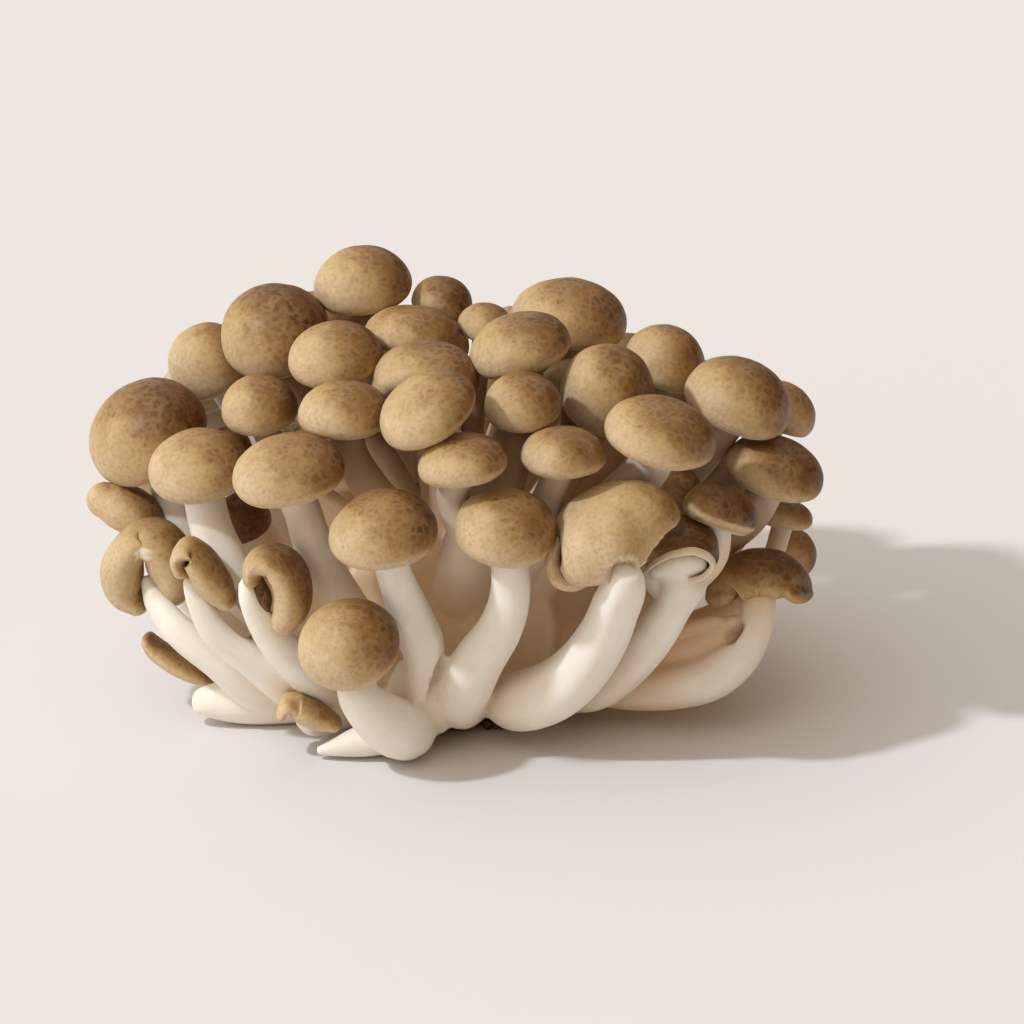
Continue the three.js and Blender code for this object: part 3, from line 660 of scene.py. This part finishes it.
def cap_finish():
    material, start, shader = finish_named(
        "cap_skin", Subsurface_Weight=0.1, Subsurface_Scale=0.0015, Subsurface_Radius=(1.0, 0.6, 0.35),
        Specular_IOR_Level=0.33,
    )
    place = start.add("NewGeometry", "Position")
    crown = start.add("Attribute", "Fac", {"attribute_name": "crown"})
    under = start.add("Attribute", "Fac", {"attribute_name": "under"})
    bent = place
    for scale, shift in ((300, 1.4 * MM), (1100, 0.7 * MM)):  # the plates' edges wander, widely and finely
        warp = start.add("TexNoise", "Color", Vector=place, Scale=scale, Detail=2)
        bent = start.add("VectorMath", 0, {"operation": "MULTIPLY_ADD"}, _0=warp, _1=(shift,) * 3, _2=bent)
    edges, tones = cells(bent, 680)
    small_edges, small_tones = cells(bent, 1150)
    plates = edges.rising(0.02, 0.3)
    plate_tone = tones.rising(0.15, 0.85)
    spots = small_edges.rising(0.0, 0.3) * small_tones.rising(0.3, 0.9)
    broad = start.add("TexNoise", "Fac", Vector=place, Scale=150, Detail=3)
    patchy = start.add("TexNoise", "Fac", Vector=place, Scale=420, Detail=4)
    mottle = start.add("TexNoise", "Fac", Vector=place, Scale=1400, Detail=3)
    net = (1 - plates) * patchy.rising(0.35, 0.6)
    # How dark the skin is: from 0 near the rim to 1 on the crown and on the side away from the lamp, where it
    # is painted shade, with soft patches.
    lifted = crown + 0.8 * (broad - 0.5) + 0.5 * (patchy - 0.5)
    strength = lifted.rising(0.0, 0.6)
    rim = (0.66, 0.50, 0.30, 1)
    tan = (0.53, 0.365, 0.165, 1)
    brown = (0.235, 0.096, 0.017, 1)
    dark = (0.085, 0.031, 0.006, 1)
    pale = (0.56, 0.41, 0.22, 1)
    flesh = (0.82, 0.72, 0.57, 1)
    skin = lifted.rising(-0.6, 0.15).blend(rim, tan)
    skin = (strength * 0.76).blend(skin, brown)
    skin = (plates * plate_tone * (0.08 + 0.24 * strength)).blend(skin, brown)
    skin = (spots * (0.18 + 0.5 * strength)).blend(skin, brown)
    skin = ((0.75 + 0.25 * plate_tone) * lifted.rising(0.35, 1.0)).blend(skin, dark)
    skin = (mottle.rising(0.45, 0.65) * (0.18 + 0.34 * strength)).blend(skin, brown)
    skin = (net * (0.13 + 0.1 * strength) * (1 - lifted.rising(0.9, 1.3))).blend(skin, pale)
    plug(under.blend(skin, flesh), shader, "Base Color")
    plug(0.5 + 0.1 * mottle - 0.1 * strength, shader, "Roughness")
    height = net * 0.6 + patchy * 0.8 + mottle * 0.4
    plug(start.add("Bump", Strength=0.4, Distance=0.06 * MM, Height=height), shader, "Normal")
    return material


cap_material = cap_finish()
# The side of each cap away from the lamp, which gets painted shade in the colour of its skin.
PAINTED_SHADE_SIDE = Vector((0.85, 0.25, 0.2))
# How much darker than most a cap grew; for left_08, left_09, front_06 and front_07, which sit in the shade of
# their neighbours, it is painted shade instead.
DARKER = {
    "front_01": -0.06, "front_02": 0.08, "front_03": -0.05, "front_04": -0.45, "front_05": -0.3,
    "front_06": 0.4, "front_07": 0.6, "front_08": 0.0, "left_01": -0.2, "left_02": -0.25, "left_03": -0.3,
    "left_04": -0.15, "left_05": 0.38, "left_06": -0.1, "left_08": 0.6, "left_09": 2.0, "shoulder_01": -0.1,
    "shoulder_03": -0.1, "shoulder_07": -0.1, "crown_02": 0.36, "crown_05": -0.15, "crown_08": 0.35,
    "right_03": 0.15, "right_05": 0.35,
}
CHANCE_DARKER = (-0.2, 0.06)
LUMP_HEIGHT = 0.22  # how uneven a cap is, in millimetres, and how wide its lumps are
LUMP_SIZE = 7 * MM
FINE_LUMP_HEIGHT = 0.06  # and for finer lumps
FINE_LUMP_SIZE = 2.2 * MM
FINE_LUMP_SEED = 80
chance = random.Random(11)
dressed = set()


def bumps(points, size, seed):
    """A soft unevenness between about -1 and 1 at each point, with lumps of that size."""
    shift = Vector((seed * 7.3, seed * 3.1, seed * 5.7))
    return np.array([noise.noise(Vector(point) / size + shift) for point in points])


def dress_cap(mesh, node, axis, under, seed, tint_and_shade=0.0):
    """Gives a cap its unevenness, its values for the colour of its skin, and its place in the scene."""
    points = coordinates(mesh)
    uneven = LUMP_HEIGHT * bumps(points, LUMP_SIZE, 10 + seed)
    uneven = uneven + FINE_LUMP_HEIGHT * bumps(points, FINE_LUMP_SIZE, FINE_LUMP_SEED)
    points += normals(mesh) * uneven[:, None] * MM
    put_back(mesh, points)
    # The skin darkens toward the crown, its own colour, and toward the side away from the lamp, which is
    # painted shade.
    crown_and_shade_way = np.array((0.45 * axis.normalized() + PAINTED_SHADE_SIDE).normalized())
    darker = DARKER.get(node.removeprefix("cap_"), chance.uniform(*CHANCE_DARKER))
    darker += 0.1 * ramp(points[:, 2].mean() / MM, 44, 54)  # the highest caps had the most light
    add_value(mesh, "crown", normals(mesh) @ crown_and_shade_way + darker + tint_and_shade)
    add_value(mesh, "under", under)
    cap = piece_from(mesh, node.replace("cap_", "skin_"), cap_material)
    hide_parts(node)
    dressed.add(node)
    return cap


def lobe(way, depth, lean, sides=FOLD_SIDES, count=FOLD_ROWS):
    """A closed, rounded lobe along a way of x, y, height and half width, as deep as given, along lean."""
    rows = smooth_way(in_metres(way), LOBE_GAP)
    first, last = rows[0], rows[-1]
    steps = np.linspace(0, 1, count)
    run = np.linspace(0, 1, len(rows))
    rows = np.stack([np.interp(steps, run, column) for column in rows.T], axis=1)
    tangents = np.gradient(rows[:, :3], axis=0)
    tangents /= np.linalg.norm(tangents, axis=1)[:, None]
    rings = [(rows[i], tangents[i], 1.0, 0.0) for i in range(count)]
    for turn in np.radians(LOBE_END_TURNS):
        rings.append((last, tangents[-1], math.cos(turn), math.sin(turn)))
        rings.insert(0, (first, tangents[0], math.cos(turn), -math.sin(turn)))
    form = bmesh.new()
    lean = Vector(lean).normalized()
    loops = []
    for index, (row, tangent, share, beyond) in enumerate(rings):
        tangent = Vector(tangent)
        long_way = (lean - tangent * lean.dot(tangent)).normalized()
        cross_way = tangent.cross(long_way)
        middle = Vector(row[:3]) + tangent * beyond * row[3]
        at = index / (len(rings) - 1)
        bulge = LOBE_END_DEPTH + (1 - LOBE_END_DEPTH) * math.sin(math.pi * at)
        long_half = depth * MM * bulge * share
        loop = []
        for k in range(sides):
            turn = 2 * math.pi * k / sides
            out = cross_way * (math.cos(turn) * row[3] * share) + long_way * (math.sin(turn) * long_half)
            loop.append(form.verts.new(middle + out))
        loops.append(loop)
    join_rings(form, loops)
    bmesh.ops.recalc_face_normals(form, faces=form.faces)
    return mesh_from(form, "lobe")


def trim(name, way, depth, lean, rows, crown, under):
    """A small lobe of skin that belongs to a cap. Crown darkens all of it, and under shows its flesh."""
    mesh = lobe(way, depth, lean, TRIM_SIDES, rows)
    add_value(mesh, "crown", np.full(len(mesh.vertices), crown))
    add_value(mesh, "under", np.full(len(mesh.vertices), under))
    piece_from(mesh, name, cap_material)


for number, (name, (way, depth, lean)) in enumerate(FOLDS.items()):
    fold = lobe(way, depth, lean)
    bare = np.zeros(len(fold.vertices))
    if name == "left_02":  # the skin split at the top of its fold, where the white flesh shows
        x, y, z = coordinates(fold).T / MM
        bare = (np.hypot(x - SPLIT_AT[0], z - SPLIT_AT[2]) < SPLIT_RADIUS) & (y < SPLIT_AT[1])
    dress_cap(fold, "cap_" + name, Vector((0, 0, 1)), bare, number)

# The hollow side of one fold faces out: a thin lobe lines it with painted shade.
HOLLOW = [(-31.2, -29.3, 30.6, 0.7), (-31.0, -29.7, 29, 1.4), (-30.8, -29.9, 27.4, 1.5),
          (-30.4, -29.5, 25.4, 0.8)]
trim("skin_front_08_hollow", HOLLOW, 1.1, (0, 1, 0), 24, crown=0.9, under=0)

# ---- Rolled margin ----
# The margin of cap front_06 rolled over as it grew, so that its pale, thin inner side shows. It is the same
# flesh and skin as the cap, and a thin band of skin joins it to the fold behind.

ROLL = [(29.4, -30.2, 32.5, 0.2), (30.9, -31.0, 34.2, 0.3), (32.9, -31.4, 35.5, 0.35),
        (34.8, -31.6, 36.1, 0.4), (36.7, -31.4, 36.3, 0.45), (38.4, -31.0, 35.7, 0.5),
        (39.7, -30.6, 34.6, 0.5), (40.0, -30.6, 33.5, 0.5), (39.3, -30.8, 32.4, 0.45),
        (38.0, -31.1, 31.6, 0.35), (36.4, -31.2, 31.4, 0.2)]
ROLL_ROWS = 64
BAND_WAY = Vector((0, 0.94, -0.342))  # backward and down, into the fold
BAND_SHIFT = 1.9 * BAND_WAY
BAND_THINNING = 0.6

trim("skin_front_06_roll", ROLL, 1.0, (0.1, 1, 0.2), ROLL_ROWS, crown=-0.4, under=0.8)
band = [(*(Vector((x, y, z)) + BAND_SHIFT), BAND_THINNING * half) for x, y, z, half in ROLL]
trim("skin_front_06_band", band, 2.2, BAND_WAY, ROLL_ROWS, crown=0.5, under=0)

# ---- Torn cap ----
# The largest cap in front grew against its neighbour and was handled: one side is folded flat behind a sharp
# crease, its margin is rolled into a hook there, and the skin is torn open where the stem joins.

CAP_LEVELS = 3
CREASE_AT = Vector((16.5, -38.5, 38)) * MM
CREASE_WAY = Vector((-0.994, -0.105, 0)).normalized()
# Painted shade: the wall that turns back behind the crease is darkened, as it lies in shade.
CREASE_SHADE = 1.6  # how much darker the skin is along the crease
CREASE_SWELL = 1.8 * MM  # how far the skin stands forward beside it
FLAP_GAP = 0.7 * MM  # how far behind the crease the folded side lies
SHARP_ANGLE = math.radians(38)
# Where it is torn, at the stem and along its right-hand margin: the middle and half sizes in millimetres, how
# ragged, and how much of the pale flesh shows along the tear. Along the second tear, in the shadow of the cap
# below, the flesh is kept dim as painted shade.
TEARS = [
    ((26.2, -42, 34.9), (3.3, 5.2, 3.8), 0.12, 0.5),
    ((35.0, -32, 34.8), (6.0, 14, 6.2), 0.08, 0.25),
]
HOOK = [(15.6, -32.5, 38.2, 0.9), (15.0, -33, 36.2, 1.15), (15.0, -33.3, 34.2, 1.3), (16.1, -33.5, 32.4, 1.4),
        (18.1, -33.5, 31.9, 1.35), (20.5, -32.5, 32.5, 1.2)]


def cap_cage(node):
    """A cap's coarse form, with its triangles paired into four-sided faces, except round its two poles."""
    form = welded(node)
    sides = max(len(vert.link_edges) for vert in form.verts)
    poles = {vert for vert in form.verts if len(vert.link_edges) == sides}
    body = [face for face in form.faces if not poles.intersection(face.verts)]
    bmesh.ops.join_triangles(
        form, faces=body, angle_face_threshold=math.radians(30), angle_shape_threshold=math.radians(120)
    )
    return form


def subdivided(form, levels):
    return with_modifiers(form, [("SUBSURF", {"levels": levels, "render_levels": levels})])


def through_corners(node):
    """The smooth surface that passes through the corners of a cap's coarse form."""
    trial = cap_cage(node)
    count = len(trial.verts)
    reached = coordinates(subdivided(trial, CAP_LEVELS))[:count]
    form = cap_cage(node)
    for vert, place in zip(form.verts, reached):
        vert.co += vert.co - Vector(place)
    return subdivided(form, CAP_LEVELS)


def under_values(mesh, seat):
    """1 on the pale flesh under a cap, 0 on its skin."""
    way = coordinates(mesh) - np.array(seat["centre"])
    up = way @ np.array(seat["axis"])
    flat = np.linalg.norm(way - up[:, None] * np.array(seat["axis"]), axis=1) / seat["radius"]
    facing = normals(mesh) @ np.array(seat["axis"])
    return ramp(-facing, 0.45, 0.75) * (up < 0) * ramp(flat, 0.93, 0.83)


def creased(node):
    """A cap with one side folded flat behind the crease."""
    cap_form = bmesh.new()
    cap_form.from_mesh(through_corners(node))
    whole = cap_form.verts[:] + cap_form.edges[:] + cap_form.faces[:]
    bmesh.ops.bisect_plane(cap_form, geom=whole, plane_co=CREASE_AT, plane_no=CREASE_WAY, dist=0.02 * MM)
    for vert in cap_form.verts:
        beyond = (vert.co - CREASE_AT).dot(CREASE_WAY)
        if beyond < 0.01 * MM and vert.co.y < -30 * MM:
            vert.co.y -= CREASE_SWELL * eased(beyond / MM, -6, 0) * eased(-vert.co.y / MM, 30, 36)
        if beyond > 0:
            vert.co -= CREASE_WAY * (beyond + min(FLAP_GAP, 0.9 * beyond))
    return with_modifiers(cap_form, [("WELD", {"merge_threshold": 0.01 * MM})])


def torn(cap_mesh, at, size, rag):
    """The cap without what lies in a ragged ball, as wide, deep and high as twice the given size."""
    form = bmesh.new()
    bmesh.ops.create_icosphere(form, subdivisions=5, radius=1)
    for vert in form.verts:
        rough = noise.noise(vert.co * 3) + 0.7 * noise.noise(vert.co * 8) + 0.4 * noise.noise(vert.co * 19)
        swell = (1 + rag * rough) * MM
        vert.co = Vector(at) * MM + Vector(c * half * swell for c, half in zip(vert.co, size))
    cutter = in_scene("cutter", mesh_from(form, "ball"))
    cap_form = bmesh.new()
    cap_form.from_mesh(cap_mesh)
    settings = {"operation": "DIFFERENCE", "object": cutter, "solver": "EXACT"}
    result = with_modifiers(cap_form, [("BOOLEAN", settings)])
    bpy.data.objects.remove(cutter)
    return result


seat = next(seat for seat in seats if seat["node"] == "cap_front_04")
cap_mesh = creased(seat["node"])
for at, size, rag, _ in TEARS:
    cap_mesh = torn(cap_mesh, at, size, rag)
under = under_values(cap_mesh, seat)
for at, size, rag, paleness in TEARS:
    away = (coordinates(cap_mesh) / MM - np.array(at)) / np.array(size)
    under = np.maximum(under, paleness * (np.linalg.norm(away, axis=1) < 1 + 0.9 * rag))
beyond = (coordinates(cap_mesh) - np.array(CREASE_AT)) @ np.array(CREASE_WAY)
# The wall just behind the crease, facing back along it, gets painted shade.
turned_back = (abs(beyond + 0.4 * MM) < 0.35 * MM) & (normals(cap_mesh) @ np.array(CREASE_WAY) > 0.9)
cap = dress_cap(cap_mesh, seat["node"], seat["axis"], under, 4, CREASE_SHADE * turned_back)
cap.data.set_sharp_from_angle(angle=SHARP_ANGLE)
trim("skin_front_04_hook", HOOK, 2.4, (0.1, 1, 0), 32, crown=-0.4, under=0)

# ---- Open caps ----
# Each open cap is a rounded dome with a rolled edge and a thin satin skin: olive-tan, darker on the crown and
# with painted shade on the side away from the lamp, with a pale net over darker patches. The skin ends just
# under the edge, where the flesh is pale.

EDGE_HEIGHT = -0.12  # of the pale edge, from a cap's widest ring, as a share of its thickness
EDGE_SPREAD = 0.07
EDGE_PALENESS = 0.3
FRONT_07_PALENESS = 1.3

for number, seat in enumerate(seats):
    if seat["node"] not in dressed:
        cap_mesh = through_corners(seat["node"])
        up = (coordinates(cap_mesh) - np.array(seat["centre"])) @ np.array(seat["axis"]) / seat["thick"]
        paleness = FRONT_07_PALENESS if seat["node"] == "cap_front_07" else EDGE_PALENESS
        paler = paleness * np.exp(-(((up - EDGE_HEIGHT) / EDGE_SPREAD) ** 2))
        dress_cap(cap_mesh, seat["node"], seat["axis"], under_values(cap_mesh, seat), number, -paler)

# ---- Gills ----
# Thin pale blades hang side by side under each cap, from the stem's neck out to the rolled edge. They grew
# with the flesh of the cap and are as deep as the hollow under it.

GILL_WIDTH = 0.2 * MM
GILL_GAP = 0.55 * MM
GILL_SHIFT = 0.2  # how unevenly they are spaced, as a share of the gap
GILL_SAG = (0.85, 1.0)  # how unevenly deep they hang
SHORT_GILL = (0.45, 0.55)  # every other one starts this far out, as a share of the cap's radius
# Each blade's lower edge: how far out, and how deep it hangs, as shares of the cap's radius and of its edge.
GILL_EDGE = [(0.55, 0.98), (0.66, 0.95), (0.76, 0.8)]


def gill_finish():
    material, start, shader = finish_named(
        "gill_flesh", Roughness=0.6, Subsurface_Weight=0.3, Subsurface_Scale=0.0015,
        Subsurface_Radius=(1.0, 0.6, 0.35),
    )
    place = start.add("NewGeometry", "Position")
    cloud = start.add("TexNoise", "Fac", Vector=place, Scale=400, Detail=2)
    plug(cloud.rising(0.3, 0.7).blend((0.62, 0.50, 0.36, 1), (0.76, 0.67, 0.54, 1)), shader, "Base Color")
    return material


def across(axis):
    """Two directions square to an axis and to each other."""
    first = axis.orthogonal().normalized()
    return first, axis.cross(first)


def add_gill(form, seat, outward, sideways, depths):
    """One blade: its foot in the cap, its edge along the given points of distance from the axis and depth."""
    rows = []
    for reach, top, bottom in depths:
        middle = seat["centre"] + outward * reach
        rows.append([
            form.verts.new(middle + seat["axis"] * height + sideways * (side * GILL_WIDTH / 2))
            for side, height in ((-1, top), (-1, bottom), (1, bottom), (1, top))
        ])
    join_rings(form, rows)


gill_form = bmesh.new()
draw = random.Random(5)
for seat in seats:
    if seat["node"].removeprefix("cap_") in FOLDS or seat["node"] == "cap_front_04":
        continue
    edge = (1 - DOME_SHARE) * seat["thick"]
    first, second = across(seat["axis"])
    count = round(2 * math.pi * 0.55 * seat["radius"] / GILL_GAP)
    for blade in range(count):
        angle = 2 * math.pi * (blade + draw.uniform(-GILL_SHIFT, GILL_SHIFT)) / count
        outward = first * math.cos(angle) + second * math.sin(angle)
        inner = NECK_SHARE - 0.03 if blade % 2 == 0 else draw.uniform(*SHORT_GILL)
        sag = draw.uniform(*GILL_SAG)
        depths = [
            (share * seat["radius"], -0.1 * edge, -depth * sag * edge)
            for share, depth in [(inner, 0.95), *GILL_EDGE]
        ]
        add_gill(gill_form, seat, outward, seat["axis"].cross(outward), depths)
gills = piece_from(mesh_from(gill_form, "gills"), "gills", gill_finish())

# ---- Crumbs of the growing medium ----
# Under the cut foot a few dark crumbs of the sawdust block it grew on still cling between the heels. They are
# rough, dry and brown.

# Where they cling and how many, then their radius, height and spread, in millimetres.
CRUMBS = [((-1.5, -16.5), 9), ((4.5, -16), 12), ((10, -13), 7)]
CRUMB_RADIUS = (0.5, 1.3)
CRUMB_HEIGHT = (0.5, 2.2)
CRUMB_SPREAD_X = 3
CRUMB_SPREAD_Y = 1.8


def crumb_finish():
    material, start, shader = finish_named("sawdust_crumbs", Roughness=0.95, Specular_IOR_Level=0.1)
    place = start.add("NewGeometry", "Position")
    cloud = start.add("TexNoise", "Fac", Vector=place, Scale=1500, Detail=3)
    plug(cloud.rising(0.35, 0.7).blend((0.045, 0.022, 0.009, 1), (0.20, 0.12, 0.06, 1)), shader, "Base Color")
    plug(start.add("Bump", Strength=0.8, Distance=0.2 * MM, Height=cloud), shader, "Normal")
    return material


crumb_form = bmesh.new()
for (x, y), count in CRUMBS:
    for _ in range(count):
        radius = draw.uniform(*CRUMB_RADIUS) * MM
        side = x + draw.uniform(-CRUMB_SPREAD_X, CRUMB_SPREAD_X)
        back = y + draw.uniform(-CRUMB_SPREAD_Y, CRUMB_SPREAD_Y)
        middle = Vector((side, back, draw.uniform(*CRUMB_HEIGHT))) * MM
        shift = Vector((draw.random(), draw.random(), draw.random())) * 20
        for vert in bmesh.ops.create_icosphere(crumb_form, subdivisions=3, radius=1)["verts"]:
            rough = 1 + 0.5 * noise.noise(vert.co * 1.6 + shift) + 0.2 * noise.noise(vert.co * 5 + shift)
            vert.co = middle + vert.co * radius * rough
            vert.co.z = max(vert.co.z, 0.0)
piece_from(mesh_from(crumb_form, "crumbs"), "crumbs", crumb_finish())

# ---- Studio ----
# A plain pale floor that runs out of sight, one hard lamp from the front left, and a pale room all round it.
# The camera looks a little down on the cluster from the front, through a long lens.

CAMERA_DISTANCE = 0.7
CAMERA_HEIGHT_ANGLE = math.radians(20)
CAMERA_TARGET = Vector((0.0085, 0.0, 0.0314))
CAMERA_LENS = 150.1
LAMP_DISTANCE = 0.32
LAMP_RADIUS = 0.009
LAMP_HEIGHT_ANGLE = math.radians(48)
LAMP_TURN = math.radians(30)
LAMP_COLOUR = (0.90, 0.93, 1.0)
LAMP_STRENGTH = 74
LAMP_FALLOFF = 1.5  # at 1 the light is the same at any distance, and above 1 it grows with distance
FLOOR_HALF = 6
FLOOR_COLOUR = (0.735, 0.715, 0.72, 1)
ROOM_WAY = (-0.76, 0.05, 0.63)  # the room is brightest on this side
ROOM_DARK = (0.20, 0.11, 0.04, 1)
ROOM_BRIGHT = (1.06, 1.0, 0.90, 1)

lens = bpy.data.cameras.new("camera")
lens.lens = CAMERA_LENS
lens.sensor_width = 36
lens.clip_start = 0.01
lens.clip_end = 50
camera = in_scene("camera", lens)
back = Vector((0, -math.cos(CAMERA_HEIGHT_ANGLE), math.sin(CAMERA_HEIGHT_ANGLE)))
camera.location = CAMERA_TARGET + back * CAMERA_DISTANCE
camera.rotation_mode = "QUATERNION"
camera.rotation_quaternion = (-back).to_track_quat("-Z", "Y")
bpy.context.scene.camera = camera

key_way = Vector((
    -math.cos(LAMP_HEIGHT_ANGLE) * math.cos(LAMP_TURN),
    -math.cos(LAMP_HEIGHT_ANGLE) * math.sin(LAMP_TURN),
    math.sin(LAMP_HEIGHT_ANGLE),
))
key = bpy.data.lights.new("key", "POINT")
key.shadow_soft_size = LAMP_RADIUS
key.energy = 1.0
key.color = LAMP_COLOUR
key.use_nodes = True
key_wire = Wire(key.node_tree)
key_reach = key_wire.add("LightFalloff", "Constant", Strength=1.0, Smooth=0.0)
plug(LAMP_STRENGTH * key_reach ** LAMP_FALLOFF, key.node_tree.nodes["Emission"], "Strength")
in_scene("key", key).location = key_way * LAMP_DISTANCE

floor_form = bmesh.new()
bmesh.ops.create_grid(floor_form, x_segments=2, y_segments=2, size=FLOOR_HALF)
floor_mesh = mesh_from(floor_form, "floor")
floor = in_scene("floor", floor_mesh)
floor_mesh.materials.append(finish_named("floor_paper", Roughness=0.8, Base_Color=FLOOR_COLOUR)[0])

world = bpy.data.worlds.new("room")
world.use_nodes = True
sky = Wire(world.node_tree)
way = sky.add("TexCoord", "Generated")
side = sky.add("VectorMath", "Value", {"operation": "DOT_PRODUCT"}, _0=way, _1=ROOM_WAY)
plug(side.rising(-0.35, 0.85).blend(ROOM_DARK, ROOM_BRIGHT), world.node_tree.nodes["Background"], "Color")
bpy.context.scene.world = world
bpy.context.scene.view_settings.view_transform = "Standard"
